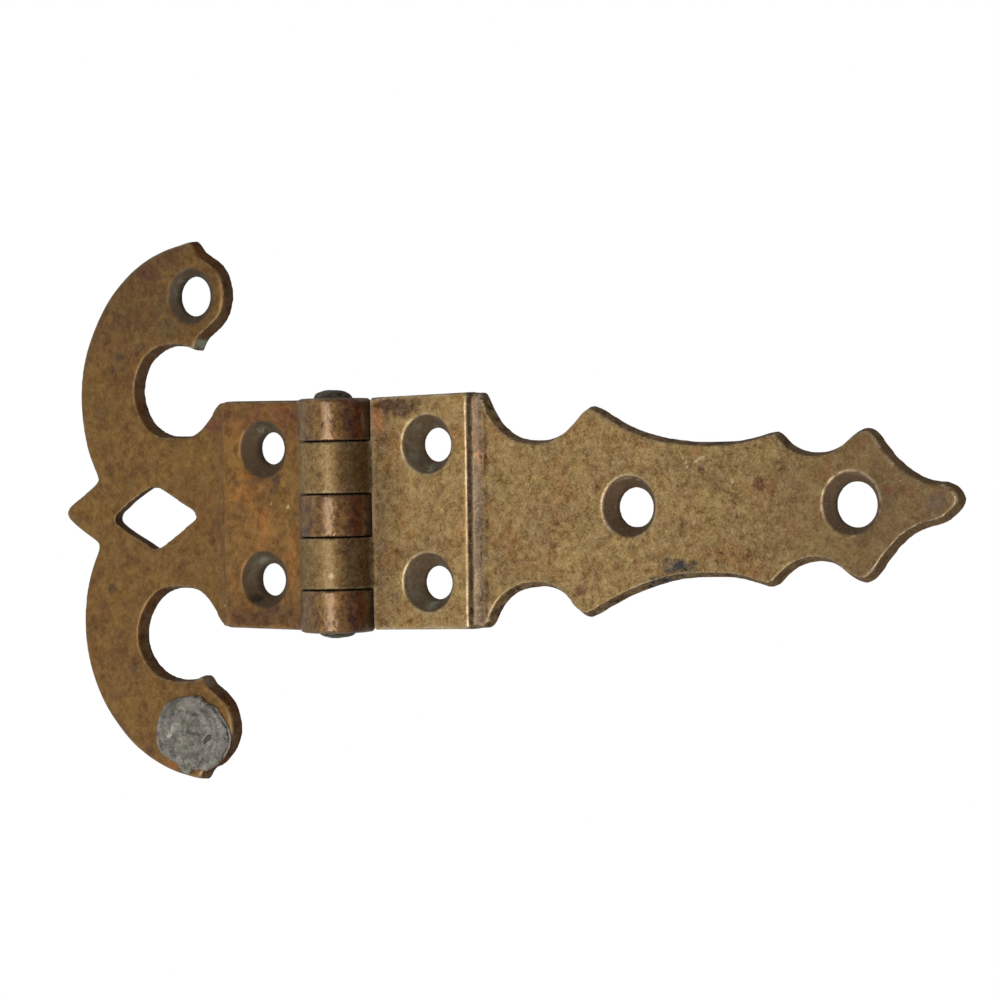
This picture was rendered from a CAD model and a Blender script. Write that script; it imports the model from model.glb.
# Antique brass T hinge: worn, stained castings around the CAD solids.
# Metres in the scene, millimetres in the code. +Z runs up the pin, the frame leaf lies towards -X,
# the strap's tip towards +X, the backs are in the plane y = 0 and the show faces look to -Y.
import math
from collections import namedtuple
from itertools import product
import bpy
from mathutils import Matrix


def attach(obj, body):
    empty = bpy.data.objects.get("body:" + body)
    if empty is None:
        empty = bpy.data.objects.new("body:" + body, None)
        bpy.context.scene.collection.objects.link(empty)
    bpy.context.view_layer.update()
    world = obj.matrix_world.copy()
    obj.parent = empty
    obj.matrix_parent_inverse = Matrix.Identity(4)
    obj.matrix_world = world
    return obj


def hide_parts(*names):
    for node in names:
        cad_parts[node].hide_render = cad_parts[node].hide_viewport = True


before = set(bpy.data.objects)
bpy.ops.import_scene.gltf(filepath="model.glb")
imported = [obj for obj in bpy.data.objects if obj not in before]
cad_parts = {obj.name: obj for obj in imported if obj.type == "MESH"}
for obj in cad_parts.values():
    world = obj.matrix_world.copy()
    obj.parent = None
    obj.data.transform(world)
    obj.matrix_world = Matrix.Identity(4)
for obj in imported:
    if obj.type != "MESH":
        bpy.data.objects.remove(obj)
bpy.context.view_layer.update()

from types import SimpleNamespace

import bmesh
import bpy
import numpy as np
from mathutils import Matrix, Vector
from mathutils.bvhtree import BVHTree
from mathutils.kdtree import KDTree


scene = bpy.context.scene
scene.view_settings.view_transform = "Standard"
scene.view_settings.look = "None"

# ------------------------------------------------------------------ sizes and places, mm
MM = 0.001                                          # one millimetre, in metres
PIN_Y = -5.85                                       # the pin's axis, in front of the back plane
KNUCKLE_ENDS = (12.2, 3.55, -3.55, -12.15)          # z where one knuckle meets the next
VOXEL = {"frame_leaf": 0.295, "strap_leaf": 0.285, "hinge_pin": 0.14, "lead_plug": 0.13}
DRAWN_RIM = 4.87                                    # radius of a countersink's rim in the CAD
DRAWN_SLOPE = 0.869                                 # radius lost for each mm of depth in the CAD
RIM = 4.98                                          # about the rim's radius once worn
PLUG_X, PLUG_Z = -33.4, -36.9                       # middle of the filling lump

# drawn and worn: radius of the plain hole. deep: depth of the worn cone.
# drift: how far the hole has moved off the countersink's centre.
Sink = namedtuple("Sink", "x z thick drawn worn deep drift_x drift_z rim")
FRAME_SINKS = [
    Sink(-32.16, 37.59, 2.6, 3.45, 3.42, 1.15, 0.16, 0.0, 4.95),
    Sink(-33.4, -36.75, 2.6, 3.45, 3.45, 1.6, 0, 0, 4.87),
    Sink(-16.24, 11.14, 3.9, 2.95, 2.74, 2.25, 0.16, 0.18, 4.98),
    Sink(-16.46, -10.76, 3.9, 2.95, 2.77, 2.3, 0.03, -0.05, 4.98)]
STRAP_SINKS = [
    Sink(17.02, 11.4, 3.9, 2.95, 2.73, 2.95, 0.22, -0.11, 4.98),
    Sink(16.8, -11.11, 3.9, 2.95, 2.70, 2.95, 0.20, -0.14, 4.98),
    Sink(54.32, 0.89, 2.6, 3.15, 3.06, 2.0, 0.30, -0.22, 5.02),
    Sink(93.37, 0.97, 2.6, 3.5, 3.50, 1.6, 0.24, -0.20, 4.95)]

# side: which way the leaf lies along X. rounding: smoothing steps.
# waves, ripples, grain: heights of the cast surface's coarse, middle and fine relief. nicks: depth.
# dents: seed, count, least and greatest radius, depth; on the barrel, then on the flat faces.
# arris, hollow: the range of bend that counts as one; hollow_rings: how wide hollows are sought.
# mottle: size and seed of the noise that breaks up the stains.
STRAP = SimpleNamespace(
    sinks=STRAP_SINKS, side=1, seed=100, rounding=3,
    waves=0.030, ripples=0.014, grain=0.010, nicks=0.12,
    dents=[(7, 230, 0.16, 0.40, 0.085), (8, 480, 0.14, 0.32, 0.035)],
    arris=(0.032, 0.08), hollow=(0.03, 0.14), hollow_rings=3, mottle=(2.8, 112))
FRAME = SimpleNamespace(
    sinks=FRAME_SINKS, side=-1, seed=300, rounding=6,
    waves=0.045, ripples=0.018, grain=0.009, nicks=0.08,
    dents=[(17, 230, 0.18, 0.42, 0.095), (18, 300, 0.16, 0.38, 0.03)],
    arris=(0.030, 0.075), hollow=(0.04, 0.16), hollow_rings=4, mottle=(3.2, 312))

# places where the walls stand further out or in: x, z, radius, amount
STRAP_SWELLS = [
    (79, -11.2, 3, 0.10), (96.5, 10.6, 2.6, 0.16), (96.5, -9.6, 2.6, 0.16),
    (111.0, 1.0, 2.6, 0.16), (109.6, 3.0, 1.7, 0.22)]
FRAME_SWELLS = [
    (-31.4, 28.7, 1.6, 0.34), (-31.9, 46.1, 1.8, 0.34), (-31.1, -28.2, 1.3, 0.34),
    (-31.9, -45.2, 2.0, 0.42), (-30.5, -43.0, 1.1, -0.30)]

# ------------------------------------------------------------------ colours
SRGB = {
    "strap": (147, 119, 72), "strap_far": (113, 87, 52), "strap_dark": (86, 66, 46),
    "frame": (121, 87, 36), "frame_pad": (128, 92, 41), "frame_high": (103, 71, 30),
    "frame_orange": (150, 99, 42), "frame_red": (112, 62, 36), "crease": (140, 106, 66),
    "knuckle": (124, 98, 55), "knuckle_far": (90, 67, 42), "knuckle_red": (90, 44, 10),
    "wall": (80, 60, 40), "strap_wall": (104, 82, 56), "black": (13, 12, 12),
    "glint": (112, 112, 98), "sink": (104, 86, 66), "verdigris": (130, 133, 116),
    "cove": (112, 92, 70), "copper": (162, 118, 82), "violet": (118, 96, 74),
    "tan": (158, 130, 84), "pale": (205, 182, 140), "umber": (82, 56, 34),
    "dark": (78, 56, 40), "dark_red": (88, 48, 34), "red": (120, 72, 42),
    "orange": (162, 106, 46), "olive_dark": (92, 78, 46), "olive_grey": (96, 82, 60),
    "blue_black": (34, 40, 46), "grey_dark": (94, 78, 62), "pin": (84, 76, 62),
    "lead": (112, 108, 99), "lead_green": (112, 118, 100), "lead_lilac": (122, 112, 112)}


def linear(rgb):
    part = np.array(rgb, float) / 255.0
    return np.where(part <= 0.04045, part / 12.92, ((part + 0.055) / 1.055) ** 2.4)


COLOUR = {name: linear(rgb) for name, rgb in SRGB.items()}

# broad tarnish: tint, patch size, seed, noise level where it starts and is full, amount, where
STRAP_TINTS = [
    ((0.84, 0.80, 0.82), 9.0, 111, 0.02, 0.34, 0.66, "all"),
    ((1.10, 1.17, 1.02), 6.0, 115, 0.0, 0.32, 0.66, "all"),
    ((0.98, 0.76, 0.62), 3.4, 116, 0.08, 0.34, 0.76, "zones"),
    ((0.70, 0.62, 0.58), 2.2, 117, 0.16, 0.38, 0.55, "all"),
    ((1.18, 1.24, 1.16), 2.0, 118, 0.12, 0.36, 0.55, "all"),
    ((0.80, 0.80, 0.92), 4.4, 119, 0.12, 0.38, 0.50, "all"),
    ((0.58, 0.55, 0.58), 1.1, 120, 0.24, 0.44, 1.0, "dark specks"),
    ((1.24, 1.28, 1.40), 0.9, 121, 0.22, 0.42, 1.0, "light specks")]
FRAME_TINTS = [
    ((1.20, 1.26, 1.10), 8.0, 311, 0.0, 0.36, 0.55, "all"),
    ((0.78, 0.72, 0.80), 6.0, 315, 0.06, 0.36, 0.55, "all"),
    ((1.18, 0.92, 0.72), 4.4, 316, 0.06, 0.34, 0.55, "zones"),
    ((0.74, 0.62, 0.62), 2.6, 317, 0.10, 0.38, 0.60, "all"),
    ((1.26, 1.32, 1.18), 2.9, 318, 0.10, 0.38, 0.50, "all"),
    ((0.86, 0.92, 0.80), 3.6, 319, 0.12, 0.40, 0.50, "all"),
    ((0.60, 0.52, 0.54), 1.4, 320, 0.20, 0.46, 0.42, "all"),
    ((1.24, 1.26, 1.20), 1.6, 321, 0.16, 0.42, 0.34, "all"),
    ((1.26, 1.22, 1.06), 2.4, 322, 0.06, 0.30, 0.58, "pad"),
    ((0.66, 0.56, 0.52), 3.2, 323, 0.04, 0.30, 0.62, "pad")]

# ragged spots on the show faces: colour, x, z, radius along x, radius along z, amount
STRAP_STAINS = [
    ("copper", 7.4, 15.6, 1.0, 2.4, 0.95), ("copper", 8.0, 14.6, 1.1, 1.2, 0.6),
    ("violet", 8.3, 12.0, 1.4, 2.2, 0.5), ("copper", 9.4, 10.6, 1.2, 1.2, 0.35),
    ("orange", 7.9, 15.0, 0.8, 1.9, 0.45), ("umber", 10.6, 18.0, 3.4, 0.9, 0.95),
    ("umber", 12.6, 17.0, 2.4, 1.0, 0.8), ("umber", 9.2, 16.9, 0.9, 0.9, 0.8),
    ("umber", 15.6, 18.3, 1.6, 0.6, 0.7), ("tan", 11.5, 14.4, 1.5, 1.4, 0.6),
    ("violet", 7.4, -0.9, 1.2, 11.2, 0.35), ("tan", 8.9, -15.0, 2.4, 2.8, 0.5),
    ("violet", 10.4, -13.2, 1.1, 0.9, 0.6), ("red", 39.3, 5.4, 0.57, 0.5, 0.6),
    ("red", 55.5, -7.9, 0.5, 0.45, 0.8), ("red", 33.0, -7.8, 1.1, 0.6, 0.45),
    ("red", 48.5, 7.2, 0.9, 0.6, 0.5), ("red", 48.8, 4.2, 0.9, 0.6, 0.5),
    ("dark", 40.9, -1.8, 0.6, 0.45, 0.7), ("dark", 67.6, 6.6, 0.52, 0.46, 0.85),
    ("dark", 64.0, -1.9, 0.2, 0.5, 0.8), ("dark", 80.9, 7.4, 0.5, 0.4, 0.6),
    ("dark_red", 45.3, -12.4, 1.3, 0.9, 0.6), ("red", 46.0, -10.0, 0.8, 0.7, 0.4),
    ("blue_black", 63.4, -8.5, 1.15, 0.7, 0.95), ("blue_black", 63.4, -8.6, 2.9, 1.15, 0.5),
    ("blue_black", 61.6, -9.3, 0.9, 0.4, 0.6), ("blue_black", 66.0, -7.9, 0.6, 0.25, 0.8),
    ("blue_black", 59.6, -10.4, 1.6, 0.4, 0.6), ("dark_red", 77.7, 4.1, 1.1, 0.9, 0.7),
    ("red", 79.6, 3.4, 1.2, 0.8, 0.4), ("red", 72.05, 0.33, 0.35, 0.3, 0.6),
    ("red", 88.0, 1.2, 0.8, 1.0, 0.4), ("red", 99.9, 3.1, 0.8, 0.8, 0.55),
    ("red", 103.5, 2.4, 0.8, 0.7, 0.4), ("grey_dark", 107.6, 0.9, 2.0, 1.3, 0.6),
    ("red", 42.6, -14.0, 0.4, 0.3, 0.5), ("copper", 39.2, -9.2, 0.9, 0.6, 0.3),
    ("red", 31.5, -9.0, 1.6, 0.8, 0.3), ("dark_red", 47.0, 9.6, 1.0, 0.7, 0.35),
    ("copper", 46.4, 1.6, 1.3, 0.9, 0.3)]
FRAME_STAINS = [
    ("dark_red", -41.3, 42.0, 2.0, 1.1, 0.65), ("dark_red", -40.0, 43.4, 2.4, 0.8, 0.35),
    ("dark", -48.1, 27.6, 0.9, 0.7, 0.65), ("dark", -49.5, 25.5, 0.65, 0.85, 0.55),
    ("dark", -43.2, 29.1, 0.7, 0.9, 0.5), ("dark", -47.0, 25.6, 0.5, 0.7, 0.4),
    ("olive_dark", -37.4, 32.4, 2.4, 1.5, 0.55), ("olive_dark", -38.8, 35.6, 1.6, 1.6, 0.35),
    ("frame_red", -27.4, 15.2, 1.9, 1.1, 0.8), ("dark", -50.5, -12.5, 1.1, 0.9, 0.55),
    ("dark", -46.0, -26.3, 1.1, 0.9, 0.5), ("dark_red", -42.8, -40.4, 1.1, 0.9, 0.65),
    ("orange", -38.2, -42.6, 2.0, 0.7, 0.7), ("pale", -31.3, -44.0, 1.0, 0.4, 0.6),
    ("orange", -12.8, 18.0, 2.3, 0.7, 0.6), ("orange", -22.3, 15.9, 1.3, 1.2, 0.35),
    ("orange", -21.6, 4.5, 1.6, 1.4, 0.75), ("orange", -20.8, 3.2, 1.1, 0.9, 0.6),
    ("orange", -17.8, 4.7, 0.9, 0.9, 0.5), ("orange", -16.2, -1.7, 1.3, 2.9, 0.55),
    ("orange", -10.5, -7.4, 0.75, 4.6, 0.6), ("dark", -13.5, 5.9, 0.75, 1.0, 0.85),
    ("dark", -14.2, 4.3, 0.6, 0.7, 0.7), ("dark", -21.6, 5.6, 1.2, 0.5, 0.5),
    ("orange", -19.8, 6.6, 2.2, 0.6, 0.4), ("pale", -11.15, 1.43, 0.28, 0.22, 0.8),
    ("pale", -14.7, 2.1, 0.24, 0.2, 0.7), ("pale", -25.5, -15.2, 0.28, 0.22, 0.8),
    ("dark", -15.8, -17.2, 6.2, 1.3, 0.45), ("dark", -12.5, -15.8, 2.4, 0.8, 0.35),
    ("dark", -18.8, -13.5, 1.2, 0.5, 0.6), ("dark", -52.0, 18.0, 1.0, 1.4, 0.25),
    ("dark", -49.0, -20.0, 0.8, 1.2, 0.3), ("dark_red", -50.0, -31.0, 1.2, 0.8, 0.3)]

# dark cracks and bright nicks: x, z at one end, x, z at the other, width, colour, amount
STRAP_MARKS = [
    (72.4, 3.0, 74.2, 2.0, 0.24, "dark", 0.8), (70.8, 3.6, 72.1, 2.9, 0.20, "dark", 0.7),
    (73.4, 0.5, 73.9, -1.0, 0.22, "dark", 0.8), (72.9, 1.6, 73.8, 1.2, 0.2, "dark", 0.7),
    (64.0, 8.9, 65.0, 7.0, 0.16, "pale", 0.7), (66.4, 7.6, 68.6, 8.8, 0.16, "pale", 0.7),
    (65.6, 6.6, 66.1, 6.0, 0.14, "pale", 0.6), (74.8, -3.0, 75.6, -4.4, 0.15, "pale", 0.6),
    (73.0, 4.9, 73.2, 4.4, 0.2, "pale", 0.7), (46.9, -2.4, 47.4, -1.4, 0.14, "pale", 0.6),
    (46.2, -3.4, 46.6, -2.9, 0.13, "pale", 0.6), (70.3, 10.0, 70.5, 8.6, 0.12, "pale", 0.4),
    (51.5, -6.0, 53.4, -7.2, 0.13, "pale", 0.35), (36.0, 3.0, 36.4, 4.6, 0.12, "pale", 0.3)]

# cuts in the filling lump: x, z at one end, x, z at the other, width, strength
PLUG_CUTS = [
    (-30.02, -38.4, -28.95, -37.45, 0.52, 1.0), (-34.0, -33.37, -31.29, -33.95, 0.42, 0.45),
    (-33.81, -36.81, -31.37, -37.19, 0.42, 0.45)]


# ------------------------------------------------------------------ curves and noise
def ramp(value, low, high):
    """Smooth rise from 0 at low to 1 at high."""
    t = np.clip((value - low) / (high - low), 0, 1)
    return t * t * (3 - 2 * t)


def peak(value, centre, width):
    """Bell curve: 1 at centre, 1/e at width from it."""
    return np.exp(-((value - centre) / width) ** 2)


def lattice_hash(ix, iy, iz, seed):
    h = (ix * 374761393 + iy * 668265263 + iz * 2147483647 + seed * 1274126177) & 0xFFFFFFFF
    h = ((h ^ (h >> 13)) * 1274126177) & 0xFFFFFFFF
    h = ((h ^ (h >> 16)) * 2246822519) & 0xFFFFFFFF
    return ((h ^ (h >> 15)) & 0xFFFFFF).astype(np.float64) / float(0xFFFFFF)


def value_noise(points, size, seed):
    """Value noise, -1 to 1, with features size mm across."""
    place = points / size + 1000.0
    cell = np.floor(place)
    t = place - cell
    t = t * t * t * (t * (t * 6 - 15) + 10)
    share = (1 - t, t)
    cx, cy, cz = cell.astype(np.int64).T
    total = 0
    for dx, dy, dz in product((0, 1), repeat=3):
        weight = share[dx][:, 0] * share[dy][:, 1] * share[dz][:, 2]
        total = total + weight * lattice_hash(cx + dx, cy + dy, cz + dz, seed)
    return total * 2 - 1


def noise(points, size, seed, octaves, gain=0.5):
    """Value noise summed over octaves, each half the size of the last and gain times as strong."""
    total, strength, strengths = 0, 1.0, 0
    for k in range(octaves):
        total = total + strength * value_noise(points + 17.3 * k, size / 2 ** k, seed + k * 101)
        strengths += strength
        strength *= gain
    return total / strengths


def warped(points, size, seed, octaves=3, gain=0.55, push=0.55):
    """Noise with its field bent by a second one, for ragged, run-together patches."""
    bend_x = value_noise(points, size * 0.7, seed + 61)
    bend_z = value_noise(points, size * 0.7, seed + 62)
    bend = np.stack([bend_x, np.zeros(len(points)), bend_z], 1)
    return noise(points + bend * size * push, size, seed, octaves, gain)


# ------------------------------------------------------------------ mesh helpers
def read_vectors(mesh, field):
    values = np.zeros(len(mesh.vertices) * 3, np.float32)
    mesh.vertices.foreach_get(field, values)
    return values.reshape(-1, 3)


def read_points(ob):
    return read_vectors(ob.data, "co").astype(np.float64) / MM


def read_normals(ob):
    return read_vectors(ob.data, "normal").astype(np.float64)


def read_edges(ob):
    ends = np.zeros(len(ob.data.edges) * 2, np.int32)
    ob.data.edges.foreach_get("vertices", ends)
    return ends.reshape(-1, 2)


def set_points(ob, points):
    ob.data.vertices.foreach_set("co", (points * MM).astype(np.float32).ravel())
    ob.data.update()


def fine_copy(node, name):
    """A remeshed copy of a CAD node, fine enough for worn edges and a cast surface."""
    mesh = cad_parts[node].data.copy()
    mesh.materials.clear()
    ob = bpy.data.objects.new(name, mesh)
    scene.collection.objects.link(ob)
    bm = bmesh.new()
    bm.from_mesh(mesh)
    bmesh.ops.remove_doubles(bm, verts=bm.verts, dist=1e-7)
    bm.to_mesh(mesh)
    bm.free()
    remesh = ob.modifiers.new("remesh", "REMESH")
    remesh.mode = "VOXEL"
    remesh.voxel_size = VOXEL[node] * MM
    remesh.adaptivity = 0.0
    depsgraph = bpy.context.evaluated_depsgraph_get()
    fine = bpy.data.meshes.new_from_object(ob.evaluated_get(depsgraph))
    ob.modifiers.clear()
    ob.data = fine
    fine.name = name
    # the voxel grid's points are drawn back onto the CAD surface
    tree = BVHTree.FromPolygons([v.co for v in mesh.vertices], [f.vertices for f in mesh.polygons])
    points = read_vectors(fine, "co")
    for i in range(len(points)):
        points[i] = tree.find_nearest(points[i])[0]
    fine.vertices.foreach_set("co", points.ravel())
    fine.update()
    return ob


def neighbour_mean(values, edges):
    count = len(values)
    a, b = edges.T
    links = np.bincount(a, minlength=count) + np.bincount(b, minlength=count)
    sums = [np.bincount(a, column[b], count) + np.bincount(b, column[a], count)
            for column in values.T]
    return np.stack(sums, 1) / np.maximum(links, 1)[:, None]


def laplace(points, edges, steps, pull=0.6):
    """Plain smoothing. pull may be one number, or one for each point."""
    pull = np.reshape(pull, (-1, 1))
    for _ in range(steps):
        points = points + pull * (neighbour_mean(points, edges) - points)
    return points


def curvature(points, normals, edges, rings):
    """Signed bend of the surface, mm: positive on arrises, negative in corners."""
    mean = points
    for _ in range(rings):
        mean = neighbour_mean(mean, edges)
    return ((points - mean) * normals).sum(1)


def pits(points, centres, seed, count, least, greatest, depth):
    """Depth at every point of small round pits, set at random among the centres."""
    rng = np.random.default_rng(seed)
    chosen = centres[rng.choice(len(centres), count, replace=False)]
    radii = rng.uniform(least, greatest, count)
    tree = KDTree(len(points))
    for i, point in enumerate(points):
        tree.insert(point, i)
    tree.balance()
    sunk = np.zeros(len(points))
    for centre, radius in zip(chosen, radii):
        deepest = depth * rng.uniform(0.4, 1.0)
        for _, i, distance in tree.find_range(centre, radius * 1.3):
            t = distance / radius
            sunk[i] = max(sunk[i], deepest * math.exp(-2.2 * t * t))
    return sunk


# ------------------------------------------------------------------ places on the hinge
def pin_polar(points):
    """Distance from the pin's axis, and angle round it: 0 to the front, + to the strap, degrees."""
    x, y, _ = points.T
    return np.hypot(x, y - PIN_Y), np.degrees(np.arctan2(x, -(y - PIN_Y)))


def scale_about_pin(points, factor):
    points[:, 0] = points[:, 0] * factor
    points[:, 1] = PIN_Y + (points[:, 1] - PIN_Y) * factor


def to_knuckle_end(z):
    return np.min([np.abs(z - end) for end in KNUCKLE_ENDS], 0)


def barrel_fields(points):
    """1 on the round of the knuckles; the angle round the pin; the distance from it."""
    radius, phi = pin_polar(points)
    on = ramp(radius, 5.2, 5.6) * (1 - ramp(radius, 6.1, 6.6)) * ramp(-points[:, 1], 3.9, 4.9)
    return on, phi, radius


def knuckle_joints(z, radius, phi):
    """1 on the facing ends of the knuckles and the lines where they meet, which fade to the frame."""
    lines = (1 - ramp(to_knuckle_end(z), 0.07, 0.17)) * (1 - ramp(radius, 6.2, 6.6))
    return lines * (1 - 0.75 * (1 - ramp(phi, -58, -34)) * ramp(radius, 5.2, 5.7))


def sink_polar(points, sink):
    """Distance from a countersink's centre, and angle from +X towards +Z, degrees."""
    dx, dz = points[:, 0] - sink.x, points[:, 2] - sink.z
    return np.hypot(dx, dz), np.degrees(np.arctan2(dz, dx))


def sink_fields(points, sinks):
    """inside: in a countersink, below the face. rim: near its edge, on the face."""
    y = points[:, 1]
    inside = np.zeros(len(points))
    rim = np.zeros(len(points))
    for sink in sinks:
        r, _ = sink_polar(points, sink)
        below = ramp(y, -sink.thick + 0.05, -sink.thick + 0.32)
        back = ramp(y, -0.30, -0.06) * ramp(r, 3.5, 3.9)
        inside = np.maximum(inside, (1 - ramp(r, 4.75, RIM)) * below * (1 - back))
        on_face = ramp(-y, sink.thick - 0.6, sink.thick - 0.2)
        rim = np.maximum(rim, peak(r, RIM, 0.20) * on_face)
    return inside, rim


def ragged_spot(points, x, z, radius_x, radius_z, seed, ragged=0.45, soft=0.55):
    """Ragged-edged spot on a show face, 0 to 1, centred at x, z."""
    close = ((np.abs(points[:, 0] - x) < radius_x * 2.6)
             & (np.abs(points[:, 2] - z) < radius_z * 2.6))
    weight = np.zeros(len(points))
    if close.any():
        local = points[close]
        size = max(0.5, min(radius_x, radius_z)) * 1.1
        d = np.hypot((local[:, 0] - x) / radius_x, (local[:, 2] - z) / radius_z)
        d = d + ragged * noise(local, size, seed + 900, 3, 0.6)
        weight[close] = 1 - ramp(d, 1 - soft, 1 + soft)
    return weight


def stroke(points, x0, z0, x1, z1, width, seed):
    """A short scratch or crack on a show face, 0 to 1."""
    start, end = np.array([x0, z0]), np.array([x1, z1])
    flat = points[:, [0, 2]]
    length = np.linalg.norm(end - start)
    close = np.linalg.norm(flat - (start + end) / 2, axis=1) < length * 0.5 + 1.5
    weight = np.zeros(len(points))
    if close.any():
        local = points[close]
        wobble = [value_noise(local, 0.8, seed), value_noise(local, 0.8, seed + 1)]
        t = np.clip(((flat[close] - start) @ (end - start)) / length ** 2, 0, 1)
        off = flat[close] + 0.16 * np.stack(wobble, 1) - (start + t[:, None] * (end - start))
        weight[close] = 1 - ramp(np.linalg.norm(off, axis=1), width * 0.35, width)
    return weight


# ------------------------------------------------------------------ casting
def wear_holes(points, sinks):
    """Draws each countersink in or out to its worn section, and drifts the plain hole."""
    x, y, z = points.T
    for sink in sinks:
        distance, _ = sink_polar(points, sink)
        ok = (distance < 6.6) & (distance > 0.5)
        r = distance[ok]
        depth = sink.thick + y[ok]
        sunk = np.clip(depth, 0, None)
        was = np.maximum(sink.drawn, DRAWN_RIM - sunk * DRAWN_SLOPE)
        now = np.maximum(sink.worn, sink.rim - sunk * (sink.rim - sink.worn) / sink.deep)
        hold = np.clip(1 - (r - was) / 1.3, 0, 1)
        new = r + (now - was) * hold
        drift = ramp(depth, 0.2, sink.deep) * hold
        x[ok] = sink.x + (x[ok] - sink.x) * new / r + sink.drift_x * drift
        z[ok] = sink.z + (z[ok] - sink.z) * new / r + sink.drift_z * drift


def round_arrises(drawn, edges, steps):
    """Rounds the edges: least where the knuckles meet, most along the back."""
    x, y, z = drawn.T
    radius, _ = pin_polar(drawn)
    to_end = to_knuckle_end(z)
    pull = np.where((radius < 6.9) & (y < -0.6), np.where(to_end < 0.45, 0.10, 0.30), 0.6)
    points = laplace(drawn, edges, steps, pull)
    ends = (to_end < 0.16) & (radius < 9.5)
    points[ends, 2] = z[ends]                         # the knuckle ends stay flat
    at_back = ((y > -0.9) & (radius > 7.5)) | ((x > 109.3) & (y > -2.3))
    return laplace(points, edges, 9, np.where(at_back, 0.6, 0.0))


def let_out_walls(points, normals, edges, grow):
    """Lets the rounded walls out by grow(points, normals), mm; the faces follow softly."""
    firm = ramp(np.hypot(normals[:, 0], normals[:, 2]), 0.25, 0.8)[:, None]
    push = normals * np.array([1, 0, 1]) * firm * grow(points, normals)[:, None]
    move = push
    for _ in range(10):
        move = push * firm + neighbour_mean(move, edges) * (0.96 * (1 - firm))
    return points + move


def fit_knuckles(points, normals, is_frame):
    """Closes up the knuckles and notches. Returns the facing knuckle ends, and |x| before the
    barrel is filled out."""
    x, y, z = points.T
    normal_z = normals[:, 2]
    radius, _ = pin_polar(points)
    # knuckle faces nearly touch
    facing = (to_knuckle_end(z) < 0.32) & (np.abs(normal_z) > 0.75) & (radius < 9.5)
    tight = np.maximum(1 - ramp(radius, 4.7, 5.2),
                       ramp(np.abs(x), 4.4, 5.0) * ramp(y, -6.6, -5.6))
    tight = np.maximum(tight, ramp(radius, 4.4, 4.8) * ramp(x, 3.2, 3.8) * ramp(y, -5.2, -4.6))
    z += np.sign(normal_z) * facing * (0.058 + 0.042 * tight)
    # the strap's notches reach in close to the frame's knuckles
    across, height = np.abs(x), np.abs(z)
    notch = (x > 0) & ~((height > 3.55) & (height < 12.17)) & (radius > 6.0)
    reach = 0.13 * ramp(-y, 3.0, 3.7)
    x -= notch * reach * ramp(across, 5.2, 5.5) * (1 - ramp(across, 6.3, 7.4))
    # the barrel at its full round, and a little over it where the knuckles pass the notches
    over = peak(pin_polar(points)[1], 118, 17)
    full = (ramp(radius, 5.2, 5.6) * (1 - ramp(radius, 6.05, 6.6)) * ramp(-y, 0.5, 1.5)
            * (1 - (1 - over * is_frame) * ramp(np.abs(normal_z), 0.6, 0.9)))
    scale_about_pin(points, 1 + (0.125 + 0.20 * over) * full / np.maximum(radius, 1))
    return facing, across


def cast_relief(points, normals, edges, leaf, facing, across):
    """How far the cast skin stands out, mm: waves, ripples and grain, less nicks on the arrises."""
    y, z = points[:, 1], points[:, 2]
    seed = leaf.seed
    arris = ramp(curvature(points, normals, edges, 3), 0.03, 0.14)
    radius, _ = pin_polar(points)
    fitted = (radius > 6.0) & (across < 7.2) & (np.abs(normals[:, 0]) > 0.3)
    fitted = fitted | ((radius < 9.5) & (to_knuckle_end(z) < 0.3))
    # leaves the bore and the knuckle faces alone, and the notch walls nearly so
    free = ramp(radius, 2.7, 3.4) * ~facing * np.where(fitted, 0.15, 1.0)
    edgewise = 1 - np.abs(normals[:, 1])
    relief = (leaf.waves * noise(points, 15.0, seed, 2)
              + leaf.ripples * noise(points, 3.6, seed + 5, 3)
              + leaf.grain * noise(points, 0.95, seed + 9, 2))
    relief = relief * (1 - 0.92 * edgewise * ramp(y, -1.9, -0.7))     # the back edges run true
    relief = relief + (0.5 * leaf.ripples * noise(points, 1.7, seed + 21, 2)
                       * edgewise * ramp(-y, 0.5, 1.5))
    nicked = leaf.nicks * arris * ramp(-y, 0.9, 1.7)
    relief = relief - nicked * ramp(noise(points, 1.5, seed + 31, 3), 0.12, 0.62)
    relief = relief - 0.5 * nicked * ramp(noise(points, 0.6, seed + 33, 2), 0.2, 0.7)
    return relief * free


def keep_behind_back(points):
    points[:, 1] = np.minimum(points[:, 1], 0.0)


def cast_surface(ob, leaf, grow):
    """Turns the drawn leaf into a worn casting. Returns its points and the normals under them."""
    edges = read_edges(ob)
    drawn = read_points(ob)
    wear_holes(drawn, leaf.sinks)
    points = round_arrises(drawn, edges, leaf.rounding)
    set_points(ob, points)
    normals = read_normals(ob)
    points = let_out_walls(points, normals, edges, grow)
    # the tip is filed round
    soft = laplace(points, edges, 10, np.where(drawn[:, 0] > 109.0, 0.6, 0.0))
    points[:, ::2] = soft[:, ::2]
    facing, across = fit_knuckles(points, normals, leaf.side < 0)
    set_points(ob, points)
    normals = read_normals(ob)
    relief = cast_relief(points, normals, edges, leaf, facing, across)
    points = points + normals * relief[:, None]
    keep_behind_back(points)
    return points, normals


def dent(points, normals, barrel, leaf):
    """Pits the barrel and the flat faces. Returns the points and how strongly each is dented."""
    on, phi, _ = barrel
    rounds = points[(on > 0.8) & (np.abs(phi) < 100)]
    flats = points[(normals[:, 1] < -0.9) & (leaf.side * points[:, 0] > 7)]
    dented = 0
    for centres, weight, settings in zip((rounds, flats), (1.0, 1.4), leaf.dents):
        depth = pits(points, centres, *settings)
        points = points - normals * depth[:, None]
        dented = dented + depth * weight
    return points, dented


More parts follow.
